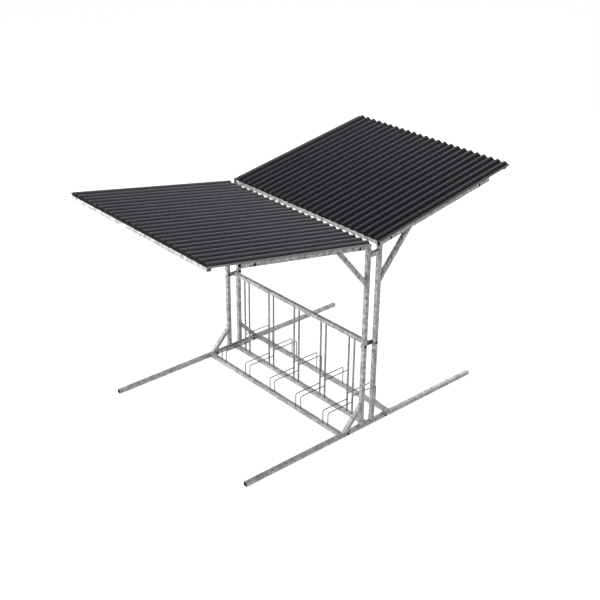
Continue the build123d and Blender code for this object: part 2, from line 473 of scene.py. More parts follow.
def galvanised_material(name, finishes):
    """Hot-dip zinc: crystals, cloudy patches, uneven gloss and a little dust at the ground, at each finish's
    brightness, with painted shade on the rack plates where they bear on the posts.
    """
    crystal_share, patch_share, brightness = ZINC_FINISHES[name]
    material, tree, shader = new_material(name)
    sizes = {
        "Crystal Size": crystal_share * finishes.spangle,
        "Patch Size": patch_share * finishes.spangle,
    }
    spangle = add_group(tree, "Zinc Spangle", zinc_spangle_group, sizes)
    dust = add_group(tree, "Ground Dust", ground_dust_group, {"Reach": 0.30, "Amount": 0.35})
    light = [brightness * part for part in finishes.zinc_light]
    dark = [brightness * part for part in finishes.zinc_dark]
    zinc = blend_colours(tree, spangle["Shade"], dark, light)
    dusty = blend_colours(tree, dust["Mask"], zinc, finishes.dust)
    # Painted shade on the rack plates' outer faces, between the plates and the posts
    if name == "Galvanised Rack":
        dusty = blend_colours(tree, plate_shade_mask(tree), dusty, finishes.plate_shade)
    gloss = spread(tree, spangle["Grain"], to_low=0.40, to_high=0.60)
    feed(tree, shader, {"Base Color": dusty, "Roughness": gloss})
    feed(tree, shader, {"Metallic": 0.25, "Specular IOR Level": 0.35})
    add_bump(tree, shader, spangle["Height"], distance=0.0006, strength=0.35)
    return material


def roof_sheet_material(name, finishes):
    """Dark coated sheet: painted highlights on the crests and lips, full on faces that look up and brighter
    on the front sheet, streaks down the slope and a fine grain.
    """
    material, tree, shader = new_material(name)
    place = object_place(tree)
    parts = split(tree, place)
    across = parts["X"]
    on_front = maths(tree, "LESS_THAN", parts["Y"], 0.0)
    streak_scale = (55.0, 2.2, 20.0)
    stretched = first_of(tree, "ShaderNodeMapping", {"Vector": place, "Scale": streak_scale})
    streak = noise(tree, stretched, 1.0, detail=4.0, roughness=0.6)
    grain = add_group(tree, "Fine Grain", fine_grain_group, {"Grain Size": 0.0016})
    facing = add_node(tree, "ShaderNodeNewGeometry").outputs["True Normal"]
    # Painted light: faces that look up take the full painted highlight, faces that look down only a share of
    # it
    up_facing_light = spread(tree, split(tree, facing)["Z"], low=-0.1, high=0.3, to_low=0.15)

    last_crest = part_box("roof_sheet_front")[1].x - WAVE_EDGE
    phase = times(tree, maths(tree, "SUBTRACT", across, last_crest), 2 * math.pi / WAVE_PITCH)
    crest = spread(tree, maths(tree, "COSINE", phase), low=-0.5)
    even_part, streak_part = 0.55, 0.45
    streaked = plus(tree, even_part, times(tree, streak, streak_part))
    # Painted highlight on the crests, broken up by the streaks
    highlighted = times(tree, crest, times(tree, streaked, up_facing_light))
    speck_strength = 0.6
    specks = times(tree, maths(tree, "SUBTRACT", grain["Shade"], 0.5), speck_strength)
    shade = clamp(tree, plus(tree, highlighted, specks))
    # The front sheet's crests get a brighter painted highlight than the back sheet's
    crest_highlight_colour = blend_colours(tree, on_front, finishes.sheet_crest_highlight, finishes.sheet_front_crest_highlight)
    coated = blend_colours(tree, shade, finishes.sheet_dark, crest_highlight_colour)

    # Painted highlight on the flat lips at the side edges, stronger on the front sheet and on faces that look
    # up, broken up by the streaks
    lip_start, lip_full = (last_crest + share * WAVE_PITCH for share in (0.38, 0.44))
    lip = spread(tree, maths(tree, "ABSOLUTE", across), lip_start, lip_full)
    back_part, front_extra_light = 0.35, 0.65
    lip_light_by_side = plus(tree, back_part, times(tree, on_front, front_extra_light))
    lip_highlight = times(tree, times(tree, lip, lip_light_by_side), up_facing_light)
    lip_highlight_share = clamp(tree, times(tree, lip_highlight, plus(tree, 0.5, streak)))
    colours = blend_colours(tree, lip_highlight_share, coated, finishes.sheet_lip_highlight)
    gloss = spread(tree, streak, to_low=0.55, to_high=0.75)
    feed(tree, shader, {"Base Color": colours, "Roughness": gloss, "Specular IOR Level": 0.06})
    add_bump(tree, shader, grain["Height"], distance=0.0004, strength=0.30)
    return material


def black_material(name, finishes):
    """A near black finish with a fine grain."""
    setting, grain_size, rough_low, rough_high = BLACK_FINISHES[name]
    material, tree, shader = new_material(name)
    grain = add_group(tree, "Fine Grain", fine_grain_group, {"Grain Size": grain_size})
    black = getattr(finishes, setting)
    colours = blend_colours(tree, grain["Shade"], black, [2.0 * part for part in black])
    gloss = spread(tree, grain["Shade"], to_low=rough_low, to_high=rough_high)
    feed(tree, shader, {"Base Color": colours, "Roughness": gloss, "Specular IOR Level": 0.12})
    add_bump(tree, shader, grain["Height"], distance=0.0002, strength=0.25)
    return material


def finish(name):
    """A finish of the shelter, made the first time it is asked for."""
    found = bpy.data.materials.get(name)
    if found:
        return found
    finishes = bpy.context.scene.bike_shelter.finishes
    if name in ZINC_FINISHES:
        return galvanised_material(name, finishes)
    if name in BLACK_FINISHES:
        return black_material(name, finishes)
    return roof_sheet_material(name, finishes)


# Places on the model


def middle(node):
    """The middle of a model piece's box."""
    low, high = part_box(node)
    return (low + high) / 2


def up_roof(side):
    """Direction up the slope of one roof half, away from the valley."""
    return Vector((0, side * math.cos(ROOF_SLOPE), math.sin(ROOF_SLOPE)))


def off_roof(side):
    """Direction square to one roof half, upwards."""
    return Vector((0, -side * math.sin(ROOF_SLOPE), math.cos(ROOF_SLOPE)))


def view_back(azimuth, elevation):
    """Direction from the shelter to a viewer. Azimuth 0 faces the front row."""
    level = math.cos(elevation)
    return Vector((math.sin(azimuth) * level, -math.cos(azimuth) * level, math.sin(elevation)))


def contact_corners(node, point, normal):
    """Corners of the rectangle where a tube meets a plane that holds the X direction."""
    slope = normal.cross(ALONG)
    reach = 1e-4
    found = [v.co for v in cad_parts[node].data.vertices if abs((v.co - point).dot(normal)) < reach]
    if not found:
        raise RuntimeError(f"{node} doesn't reach its joint")
    xs = [co.x for co in found]
    places = [(co - point).dot(slope) for co in found]
    left, right, low, high = min(xs), max(xs), min(places), max(places)
    flat = Vector((0, point.y, point.z))
    return [
        flat + ALONG * x + slope * place
        for x, place in ((left, low), (right, low), (right, high), (left, high))
    ]


def square(centre, along, up, half):
    """Corners of a square about a point."""
    return [centre + half * (along * a + up * b) for a, b in ((-1, -1), (1, -1), (1, 1), (-1, 1))]


def ring(centre, along, up, radius, count=10):
    """Points round a circle."""
    turns = [2 * math.pi * step / count for step in range(count)]
    return [centre + radius * (along * math.cos(turn) + up * math.sin(turn)) for turn in turns]


# Meshes that Geometry Nodes work on, and pieces


def point_mesh(name, places):
    """Loose points, each with the direction and the turn of what is set on it."""
    mesh = bpy.data.meshes.new(name)
    mesh.from_pydata([place for place, axis, turn in places], [], [])
    axes = mesh.attributes.new("axis", "FLOAT_VECTOR", "POINT")
    axes.data.foreach_set("vector", [part for place, axis, turn in places for part in axis])
    turns = mesh.attributes.new("turn", "FLOAT", "POINT")
    turns.data.foreach_set("value", [turn for place, axis, turn in places])
    return mesh


def path_mesh(name, paths):
    """Loose lines, each a list of points and whether it closes on itself."""
    points, edges = [], []
    for path, closed in paths:
        first = len(points)
        points += path
        edges += [(first + step, first + step + 1) for step in range(len(path) - 1)]
        if closed:
            edges.append((first + len(path) - 1, first))
    mesh = bpy.data.meshes.new(name)
    mesh.from_pydata(points, edges, [])
    return mesh


def strip_mesh(name, strips):
    """Straight strips, each an outline and the length it is drawn out to."""
    points, faces = [], []
    for outline, reach in strips:
        first, count = len(points), len(outline)
        points += outline + [point + reach for point in outline]
        for step in range(count):
            after = (step + 1) % count
            faces.append([first + part for part in (step, after, count + after, count + step)])
        faces.append([first + step for step in reversed(range(count))])
        faces.append([first + count + step for step in range(count)])
    mesh = bpy.data.meshes.new(name)
    mesh.from_pydata(points, [], faces)
    work = bmesh.new()
    work.from_mesh(mesh)
    bmesh.ops.recalc_face_normals(work, faces=work.faces)
    work.to_mesh(mesh)
    work.free()
    return mesh


def new_object(name, data):
    """An object in the scene."""
    made = bpy.data.objects.new(name, data)
    bpy.context.scene.collection.objects.link(made)
    return made


def settle(piece):
    """Let a piece ride on the shelter's body."""
    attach(piece, "root")


def bake(name, mesh, tree, values):
    """Run a tree on a mesh of points or paths, and keep what it makes as a plain piece."""
    piece = new_object(name, mesh)
    modifier = piece.modifiers.new(name, "NODES")
    modifier.node_group = tree
    for item in tree.interface.items_tree:
        if item.in_out == "INPUT" and item.name in values:
            modifier[item.identifier] = values[item.name]
    evaluated = piece.evaluated_get(bpy.context.evaluated_depsgraph_get())
    made = bpy.data.meshes.new_from_object(evaluated)
    if not made.polygons:
        raise RuntimeError(f"{name} came out empty")
    piece.modifiers.remove(modifier)
    piece.data = made
    settle(piece)


def set_pieces(name, places, tree, values):
    """A piece made of what a tree sets on each of several places."""
    bake(name, point_mesh(name, places), tree, values)


# Geometry Nodes trees


def geometry_tree(name, source, numbers, others=None):
    """A tree that turns points or paths into a mesh with a material."""
    inputs = {source: GEOMETRY, **dict.fromkeys(numbers, FLOAT), **(others or {})}
    inputs["Material"] = "NodeSocketMaterial"
    return new_tree(name, "GeometryNodeTree", inputs, {"Mesh": GEOMETRY})


def join(tree, parts):
    """Several geometries as one."""
    made = tree.nodes.new("GeometryNodeJoinGeometry")
    for part in parts:
        tree.links.new(part, made.inputs[0])
    return made.outputs[0]


def random_between(tree, low, high, seed):
    """A random number for each point or instance."""
    inputs = {2: low, 3: high, "Seed": seed}
    return add_node(tree, "FunctionNodeRandomValue", inputs, data_type="FLOAT").outputs[1]


def raised_top(tree, shape, top, rise, share):
    """Raise the top of a shape and then scale it, and give the shape with its new top."""
    raised = add_node(
        tree, "GeometryNodeExtrudeMesh", {"Mesh": shape, "Selection": top, "Offset Scale": rise}
    )
    new_top = raised.outputs["Top"]
    inputs = {"Geometry": raised.outputs["Mesh"], "Selection": new_top, "Scale": share}
    return first_of(tree, "GeometryNodeScaleElements", inputs), new_top


def chamfered_prism(tree, count, radius, height, chamfer, base):
    """A prism with a chamfered top edge that stands on a base height."""
    straight = maths(tree, "SUBTRACT", height, chamfer)
    body = add_node(
        tree, "GeometryNodeMeshCylinder", {"Vertices": count, "Radius": radius, "Depth": straight}
    )
    narrow = maths(tree, "SUBTRACT", 1.0, maths(tree, "DIVIDE", chamfer, radius))
    shaped = raised_top(tree, body.outputs["Mesh"], body.outputs["Top"], chamfer, narrow)[0]
    place = combined(tree, Z=plus(tree, base, times(tree, straight, 0.5)))
    return first_of(tree, "GeometryNodeTransform", {"Geometry": shaped, "Translation": place})


def built_up(tree, outline, steps):
    """A closed shape on a flat outline. Each step raises its top and then scales it."""
    base = first_of(tree, "GeometryNodeFillCurve", {"Curve": outline}, mode="NGONS")
    shape, top = base, True
    for rise, share in steps:
        shape, top = raised_top(tree, shape, top, rise, share)
    underside = first_of(tree, "GeometryNodeFlipFaces", {"Mesh": base})
    whole = join(tree, [shape, underside])
    return first_of(tree, "GeometryNodeMergeByDistance", {"Geometry": whole, "Distance": 1e-5})


def finish_mesh(tree, given, result, shape):
    """End a tree with a plain mesh that has its material."""
    plain = first_of(tree, "GeometryNodeRealizeInstances", {"Geometry": shape})
    inputs = {"Geometry": plain, "Material": given["Material"]}
    feed(tree, result, {"Mesh": first_of(tree, "GeometryNodeSetMaterial", inputs)})


def set_on_points(tree, given, result, shape, spin=0.0):
    """Set a shape on each point along its axis, turned by the point's turn and a spin."""
    attribute = "GeometryNodeInputNamedAttribute"
    axis = first_of(tree, attribute, {"Name": "axis"}, data_type="FLOAT_VECTOR")
    turn = first_of(tree, attribute, {"Name": "turn"}, data_type="FLOAT")
    aimed = first_of(tree, "FunctionNodeAlignRotationToVector", {"Vector": axis}, axis="Z")
    inputs = {"Points": given["Points"], "Instance": shape, "Rotation": aimed}
    placed = first_of(tree, "GeometryNodeInstanceOnPoints", inputs)
    inputs = {"Axis": (0.0, 0.0, 1.0), "Angle": plus(tree, turn, spin)}
    about_axis = first_of(tree, "FunctionNodeAxisAngleToRotation", inputs)
    inputs = {"Instances": placed, "Rotation": about_axis, "Local Space": True}
    finish_mesh(tree, given, result, first_of(tree, "GeometryNodeRotateInstances", inputs))


def hex_fastener_tree():
    """A washer, a hexagon with a chamfered top and, if asked for, the end of a thread."""
    tree, given, result = geometry_tree(
        "Hex Fastener",
        "Points",
        ("Across Flats", "Head Height", "Head Chamfer", "Washer Radius", "Washer Thickness", "Thread Length"),
        {"Show Thread": "NodeSocketBool", **SEED},
    )
    washer_height, chamfer = given["Washer Thickness"], given["Head Chamfer"]
    washer_sides, thread_sides = 28, 20
    washer_edge = times(tree, washer_height, 0.3)
    washer = chamfered_prism(tree, washer_sides, given["Washer Radius"], washer_height, washer_edge, 0.0)
    corner_radius = maths(tree, "DIVIDE", given["Across Flats"], math.sqrt(3))
    head = chamfered_prism(tree, 6, corner_radius, given["Head Height"], chamfer, washer_height)
    thread_radius = times(tree, given["Across Flats"], 0.31)
    head_top = plus(tree, washer_height, given["Head Height"])
    thread = chamfered_prism(tree, thread_sides, thread_radius, given["Thread Length"], chamfer, head_top)
    inputs = {"Switch": given["Show Thread"], "True": thread}
    shown = first_of(tree, "GeometryNodeSwitch", inputs, input_type="GEOMETRY")
    spin = random_between(tree, 0.0, math.pi / 3, given["Seed"])
    set_on_points(tree, given, result, join(tree, [washer, head, shown]), spin)
    return tree


def end_plug_tree():
    """A square plug with round corners, a chamfered edge and a dished middle."""
    tree, given, result = geometry_tree(
        "End Plug", "Points", ("Width", "Corner", "Thickness", "Chamfer", "Dish Share")
    )
    width, chamfer = given["Width"], given["Chamfer"]
    outline = first_of(
        tree, "GeometryNodeCurvePrimitiveQuadrilateral", {"Width": width, "Height": width}
    )
    inputs = {"Curve": outline, "Count": 5, "Radius": given["Corner"]}
    rounded = first_of(tree, "GeometryNodeFilletCurve", inputs, mode="POLY")
    straight = maths(tree, "SUBTRACT", given["Thickness"], chamfer)
    chamfer_share = maths(tree, "DIVIDE", times(tree, chamfer, 2.0), width)
    dish_depth, dish_taper = times(tree, straight, -0.6), 0.94
    steps = (
        (straight, 1.0),
        (chamfer, maths(tree, "SUBTRACT", 1.0, chamfer_share)),
        (0.0, given["Dish Share"]),
        (dish_depth, dish_taper),
    )
    set_on_points(tree, given, result, built_up(tree, rounded, steps))
    return tree


def button_bolt_tree():
    """A low round head on a flange, with a hexagon socket."""
    tree, given, result = geometry_tree(
        "Button Bolt", "Points", ("Flange Radius", "Head Height", "Socket Flats"), SEED
    )
    height = given["Head Height"]
    inputs = {"Resolution": 40, "Radius": given["Flange Radius"]}
    outline = first_of(tree, "GeometryNodeCurvePrimitiveCircle", inputs)
    # Each step's rise, as a share of the head's height, and how far it narrows
    steps = ((0.30, 1.0), (0.08, 0.96), (0.0, 0.76), (0.30, 0.93), (0.20, 0.84), (0.12, 0.66))
    head = built_up(tree, outline, [(times(tree, height, rise), share) for rise, share in steps])
    socket_radius = maths(tree, "DIVIDE", given["Socket Flats"], math.sqrt(3))
    inputs = {"Vertices": 6, "Radius": socket_radius, "Depth": times(tree, height, 1.1)}
    cutter = first_of(tree, "GeometryNodeMeshCylinder", inputs)
    inputs = {"Geometry": cutter, "Translation": combined(tree, Z=height)}
    lifted = first_of(tree, "GeometryNodeTransform", inputs)
    inputs = {"Mesh 1": head, "Mesh 2": lifted}
    bored = first_of(tree, "GeometryNodeMeshBoolean", inputs, operation="DIFFERENCE")
    spin = random_between(tree, 0.0, math.pi / 3, given["Seed"])
    set_on_points(tree, given, result, bored, spin)
    return tree


def wave_filler_tree():
    """A block of foam that fills the space under one crest of a roof sheet."""
    tree, given, result = geometry_tree(
        "Wave Filler", "Points", ("Wave Pitch", "Wave Depth", "Gap", "Length")
    )
    half_share = 0.428
    half = times(tree, given["Wave Pitch"], half_share)
    inputs = {"Start": combined(tree, X=times(tree, half, -1.0)), "End": combined(tree, X=half)}
    line = first_of(tree, "GeometryNodeCurvePrimitiveLine", inputs)
    points = first_of(tree, "GeometryNodeResampleCurve", {"Curve": line, "Count": 25})
    across = split(tree, first_of(tree, "GeometryNodeInputPosition"))["X"]
    phase = times(tree, maths(tree, "DIVIDE", across, given["Wave Pitch"]), 2 * math.pi)
    swing = times(tree, plus(tree, maths(tree, "COSINE", phase), 1.0), 0.5)
    height = maths(tree, "SUBTRACT", times(tree, swing, given["Wave Depth"]), given["Gap"])
    inputs = {"Geometry": points, "Offset": combined(tree, Y=height)}
    arch = first_of(tree, "GeometryNodeSetPosition", inputs)
    closed = first_of(tree, "GeometryNodeSetSplineCyclic", {"Geometry": arch, "Cyclic": True})
    set_on_points(tree, given, result, built_up(tree, closed, ((given["Length"], 1.0),)))
    return tree


def weld_bead_tree():
    """A rippled bead along each path."""
    tree, given, result = geometry_tree(
        "Weld Bead", "Paths", ("Bead Radius", "Ripple Pitch", "Ripple Share"), SEED
    )
    line = first_of(tree, "GeometryNodeMeshToCurve", {"Mesh": given["Paths"]})
    inputs = {"Curve": line, "Length": maths(tree, "DIVIDE", given["Ripple Pitch"], 2.0)}
    steps = first_of(tree, "GeometryNodeResampleCurve", inputs, mode="LENGTH")
    crest = maths(tree, "MODULO", first_of(tree, "GeometryNodeInputIndex"), 2.0)
    uneven = random_between(tree, *RIPPLE_RANGE, given["Seed"])
    swell = times(tree, times(tree, crest, uneven), given["Ripple Share"])
    inputs = {"Resolution": 8, "Radius": given["Bead Radius"]}
    inputs = {
        "Curve": steps,
        "Profile Curve": first_of(tree, "GeometryNodeCurvePrimitiveCircle", inputs),
        "Scale": plus(tree, swell, 1.0),
        "Fill Caps": True,
    }
    bead = first_of(tree, "GeometryNodeCurveToMesh", inputs)
    inputs = {"Geometry": bead, "Shade Smooth": True}
    finish_mesh(tree, given, result, first_of(tree, "GeometryNodeSetShadeSmooth", inputs))
    return tree


# Operators, one for each group of pieces


class SHELTER_OT_finish_frame(bpy.types.Operator):
    """Give the tubes, the rack and the roof sheets their finishes"""

    bl_idname = "shelter.finish_frame"
    bl_label = "Finish the Frame"

    def execute(self, context):
        for name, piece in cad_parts.items():
            looks = [look for look, kinds in NODE_FINISHES.items() if name.startswith(kinds)]
            if not looks:
                raise RuntimeError(f"no finish for {name}")
            piece.data.materials.clear()
            piece.data.materials.append(finish(looks[0]))
        return {"FINISHED"}


class SHELTER_OT_add_bolts(bpy.types.Operator):
    """Set black bolts on the frames and rafters, with nuts on the rack's plates"""

    bl_idname = "shelter.add_bolts"
    bl_label = "Add Bolts"

    def execute(self, context):
        sizes = context.scene.bike_shelter.fasteners
        heads, nuts = [], []
        for end, end_side in ENDS.items():
            outward = ALONG * end_side
            for row, side in ROWS.items():
                post_low, post_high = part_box(f"post_{end}_{row}")
                post = (post_low + post_high) / 2
                post_half = (post_high.x - post_low.x) / 2
                plate_face = post.x - end_side * (post_half + PLATE_THICKNESS)
                rail_bolt = Vector((0, post.y, middle("top_rail").z))
                rail_low, rail_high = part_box(f"low_rail_{row}")
                plate_inner = rail_high.y if side < 0 else rail_low.y
                beam_height = middle(f"low_rail_{row}").z - sizes.bolt_drop
                beam_bolt = Vector((0, plate_inner + side * PLATE_MARGIN, beam_height))
                for place in (rail_bolt, beam_bolt):
                    heads.append((place + outward * (abs(post.x) + post_half), outward, 0.0))
                    nuts.append((place + ALONG * plate_face, -outward, 0.0))
                for purlin in ("inner_purlin", "outer_purlin"):
                    seat = middle(f"{purlin}_{row}") - off_roof(side) * sizes.bolt_drop
                    face = post.x + end_side * RAFTER_SIZE / 2
                    heads.append((Vector((face, seat.y, seat.z)), outward, 0.0))
        head_values = {
            "Flange Radius": sizes.bolt_flange,
            "Head Height": sizes.bolt_head,
            "Socket Flats": sizes.bolt_socket,
            "Seed": 4,
            "Material": finish("Black Steel"),
        }
        set_pieces("bolt_heads", heads, button_bolt_tree(), head_values)
        nut_values = {
            "Across Flats": sizes.nut_flats,
            "Head Height": sizes.nut_height,
            "Head Chamfer": 0.10 * sizes.nut_height,
            "Washer Radius": sizes.nut_washer,
            "Washer Thickness": 0.12 * sizes.nut_washer,
            "Thread Length": 0.6 * sizes.nut_height,
            "Show Thread": True,
            "Seed": 4,
            "Material": finish("Black Steel"),
        }
        set_pieces("bolt_nuts", nuts, hex_fastener_tree(), nut_values)
        return {"FINISHED"}


class SHELTER_OT_add_roof_screws(bpy.types.Operator):
    """Screw the roof sheets to the purlins and edge tubes through their troughs"""

    bl_idname = "shelter.add_roof_screws"
    bl_label = "Add Roof Screws"

    def execute(self, context):
        sizes = context.scene.bike_shelter.fasteners
        places = []
        for row, side in ROWS.items():
            near_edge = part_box(f"roof_sheet_{row}")[1].x
            last_trough = near_edge - WAVE_EDGE + WAVE_PITCH / 2
            for carrier, size in CARRIER_SIZES.items():
                far_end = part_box(f"{carrier}_{row}")[0].x
                deck = middle(f"{carrier}_{row}")
                deck += off_roof(side) * (size / 2 + SHEET_CLEARANCE + SHEET_THICKNESS)
                x = last_trough - WAVE_PITCH
                while x > far_end:
                    places.append((Vector((x, deck.y, deck.z)), off_roof(side), 0.0))
                    x -= sizes.screw_every * WAVE_PITCH
        values = {
            "Across Flats": sizes.screw_flats,
            "Head Height": 0.6 * sizes.screw_flats,
            "Head Chamfer": 0.1 * sizes.screw_flats,
            "Washer Radius": sizes.screw_washer,
            "Washer Thickness": 0.35 * sizes.screw_washer,
            "Seed": 9,
            "Material": finish("Roof Sheet"),
        }
        set_pieces("roof_screws", places, hex_fastener_tree(), values)
        return {"FINISHED"}


class SHELTER_OT_add_wave_fillers(bpy.types.Operator):
    """Fill the high ends of the roof sheets with foam under the crests, over a rubber drip strip"""

    bl_idname = "shelter.add_wave_fillers"
    bl_label = "Add Wave Fillers"

    def execute(self, context):
        sizes = context.scene.bike_shelter.fasteners
        half = CARRIER_SIZES["edge_tube"] / 2
        places = []
        for row, side in ROWS.items():
            low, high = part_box(f"roof_sheet_{row}")
            deck = middle(f"edge_tube_{row}") + off_roof(side) * (half + SHEET_CLEARANCE)
            start = deck + up_roof(side) * (half - sizes.filler_gap - sizes.filler_length)
            turn = 0.0 if side < 0 else math.pi
            x = high.x - WAVE_EDGE
            while x > low.x:
                places.append((Vector((x, start.y, start.z)), up_roof(side), turn))
                x -= WAVE_PITCH
        values = {
            "Wave Pitch": WAVE_PITCH,
            "Wave Depth": WAVE_DEPTH,
            "Gap": sizes.filler_gap,
            "Length": sizes.filler_length,
            "Material": finish("Black Foam"),
        }
        set_pieces("wave_fillers", places, wave_filler_tree(), values)
        strips = [self.strip_outline(row, side, half, sizes) for row, side in ROWS.items()]
        mesh = strip_mesh("drip_strips", strips)
        mesh.materials.append(finish("Black Foam"))
        settle(new_object("drip_strips", mesh))
        return {"FINISHED"}

    def strip_outline(self, row, side, half, sizes):
        """Outline of a strip with a bead along its lower edge, and the length of the edge tube."""
        low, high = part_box(f"edge_tube_{row}")
        out, up = up_roof(side), off_roof(side)
        corner = middle(f"edge_tube_{row}") + out * half + up * half
        start = Vector((low.x, corner.y, corner.z))
        thick, tall = sizes.strip_thickness, sizes.strip_height
        shape = (
            (0.0, 0.0),
            (0.6 * thick, 0.0),
            (thick, -0.4 * thick),
            (thick, thick - tall),
            (1.5 * thick, 0.7 * thick - tall),
            (1.5 * thick, 0.3 * thick - tall),
            (thick, -tall),
            (0.0, -tall),
        )
        outline = [start + out * (STRIP_FIT + away) + up * rise for away, rise in shape]
        return outline, ALONG * (high.x - low.x)


class SHELTER_OT_add_end_plugs(bpy.types.Operator):
    """Close the ends of the beams and rafters with plastic plugs and the edge tubes with steel caps"""

    bl_idname = "shelter.add_end_plugs"
    bl_label = "Add End Plugs"

    def execute(self, context):
        sizes = context.scene.bike_shelter.fasteners
        beams, rafters, edges = [], [], []
        for end in ENDS:
            low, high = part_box(f"ground_beam_{end}")
            centre = (low + high) / 2
            for y, way in ((low.y, -1), (high.y, 1)):
                beams.append((Vector((centre.x, y, centre.z)), ACROSS * way, 0.0))
        for row, side in ROWS.items():
            slope = up_roof(side)
            for end in ENDS:
                low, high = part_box(f"rafter_{end}_{row}")
                run = high.y - low.y - RAFTER_SIZE * math.sin(ROOF_SLOPE)
                sunk = run / math.cos(ROOF_SLOPE) / 2 - sizes.plug_recess
                for way in (1, -1):
                    rafters.append(((low + high) / 2 + slope * sunk * way, slope * way, 0.0))
            low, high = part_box(f"edge_tube_{row}")
            centre = (low + high) / 2
            for x, way in ((low.x, -1), (high.x, 1)):
                place = Vector((x - way * sizes.plug_flange, centre.y, centre.z))
                edges.append((place, ALONG * way, side * way * ROOF_SLOPE))
        tree = end_plug_tree()
        values = {
            "Thickness": sizes.plug_flange,
            "Chamfer": 0.25 * sizes.plug_flange,
            "Dish Share": 0.72,
        }
        groups = {
            "beam_plugs": (beams, BEAM_OUTSIDE, BEAM_CORNER, "Black Plastic"),
            "rafter_plugs": (rafters, RAFTER_BORE, BORE_CORNER, "Black Plastic"),
            "edge_tube_caps": (edges, EDGE_TUBE_BORE, BORE_CORNER, "Galvanised Weld"),
        }
        for name, (places, width, corner, look) in groups.items():
            shape = {"Width": width - PLUG_FIT, "Corner": corner, "Material": finish(look)}
            set_pieces(name, places, tree, {**values, **shape})
        return {"FINISHED"}


class SHELTER_OT_add_welds(bpy.types.Operator):
    """Lay weld beads where the tubes, plates and rods of the model meet"""

    bl_idname = "shelter.add_welds"
    bl_label = "Add Welds"

    def execute(self, context):
        sizes = context.scene.bike_shelter.welds
        tree = weld_bead_tree()
        values = {
            "Ripple Pitch": sizes.ripple_pitch,
            "Ripple Share": sizes.ripple_share,
            "Seed": 2,
            "Material": finish("Galvanised Weld"),
        }
        swell = 1 + RIPPLE_LIMIT * sizes.ripple_share
        outside = cad_high.x - swell * sizes.frame_bead
        groups = {
            "frame_welds": (self.frame_paths(outside), sizes.frame_bead, "galvanised_tube"),
            "rack_welds": (self.rack_paths(sizes.rack_bead), sizes.rack_bead, "galvanised_rack"),
            "upright_welds": (self.upright_paths(), sizes.upright_bead, "galvanised_rack"),
        }
        for name, (paths, bead, slot) in groups.items():
            bake(name, path_mesh(name, paths), tree, {**values, "Bead Radius": bead})
        return {"FINISHED"}

    def frame_paths(self, outside):
        """Joints of the end frames, with no point further out than a place along X."""
        paths = []
        for end in ENDS:
            low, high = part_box(f"crossbar_{end}")
            for y in (low.y, high.y):
                paths.append((contact_corners(f"crossbar_{end}", ACROSS * y, ACROSS), True))
            for row, side in ROWS.items():
                low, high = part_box(f"post_{end}_{row}")
                for y in (low.y, high.y):
                    paths.append(([Vector((low.x, y, low.z)), Vector((high.x, y, low.z))], False))
                outer_y, inner_y = (low.y, high.y) if side < 0 else (high.y, low.y)
                foot_brace, roof_brace = f"foot_brace_{end}_{row}", f"roof_brace_{end}_{row}"
                for brace in (foot_brace, roof_brace):
                    paths.append((contact_corners(brace, ACROSS * outer_y, ACROSS * side), True))
                paths.append((contact_corners(foot_brace, UPWARD * low.z, UPWARD), True))
                eaves = Vector((0, outer_y, high.z))
                rafter_low, rafter_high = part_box(f"rafter_{end}_{row}")
                corners = contact_corners(roof_brace, eaves, off_roof(side))
                for corner in corners:
                    corner.x = min(max(corner.x, rafter_low.x), rafter_high.x)
                paths.append((corners, True))
                drop = abs(outer_y - inner_y) * math.tan(ROOF_SLOPE)
                for x in (rafter_low.x, rafter_high.x):
                    ends = [Vector((x, outer_y, high.z)), Vector((x, inner_y, high.z - drop))]
                    paths.append((ends, False))
        for path in paths:
            for point in path[0]:
                point.x = min(max(point.x, -outside), outside)
        return paths

    def rack_paths(self, bead):
        """Joints of the wheel rack."""
        paths = []
        half = RAIL_SIZE / 2
        top_z = middle("top_rail").z
        low_z, high_z = bead, RAIL_SIZE
        for end_side in ENDS.values():
            face = end_side * (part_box("low_rail_front")[1].x - PLATE_THICKNESS)
            paths.append((square(Vector((face, 0, top_z)), ACROSS, UPWARD, half), True))
            butt = end_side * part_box("centre_rail")[1].x
            ends = ((-half, low_z), (-half, high_z), (half, high_z), (half, low_z))
            paths.append(([Vector((butt, y, z)) for y, z in ends], False))
            for row, side in ROWS.items():
                low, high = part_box(f"low_rail_{row}")
                inner = (low.y + RAIL_SIZE) if side < 0 else (high.y - RAIL_SIZE)
                ends = [Vector((face, inner, low_z)), Vector((face, inner, high_z - bead))]
                paths.append((ends, False))
        post_half = UPRIGHT_SIZE / 2
        for base in self.upright_ends(at_top=False):
            paths.append((square(base, ALONG, ACROSS, post_half), True))
            for row, side in ROWS.items():
                rod_low, rod_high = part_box(f"wheel_hoops_{row}")
                leg_y = rod_low.y + HOOP_RADIUS if side < 0 else rod_high.y - HOOP_RADIUS
                foot = Vector((base.x, leg_y, RAIL_SIZE))
                paths.append((ring(foot, ALONG, ACROSS, HOOP_RADIUS), True))
                tip = Vector((base.x, side * post_half, rod_high.z - HOOP_RADIUS))
                paths.append((ring(tip, ALONG, UPWARD, HOOP_RADIUS), True))
        return paths

    def upright_paths(self):
        """Joints of the wheel uprights with the top rail."""
        tops = self.upright_ends(at_top=True)
        return [(square(top, ALONG, ACROSS, UPRIGHT_SIZE / 2), True) for top in tops]

    def upright_ends(self, at_top):
        """The middle of the top or the foot of each wheel upright."""
        half = UPRIGHT_SIZE / 2
        ends = []
        for wheel in WHEELS:
            low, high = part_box(f"wheel_uprights_{wheel}")
            z = high.z if at_top else low.z
            ends += [Vector((x, 0, z)) for x in (low.x + half, high.x - half)]
        return ends


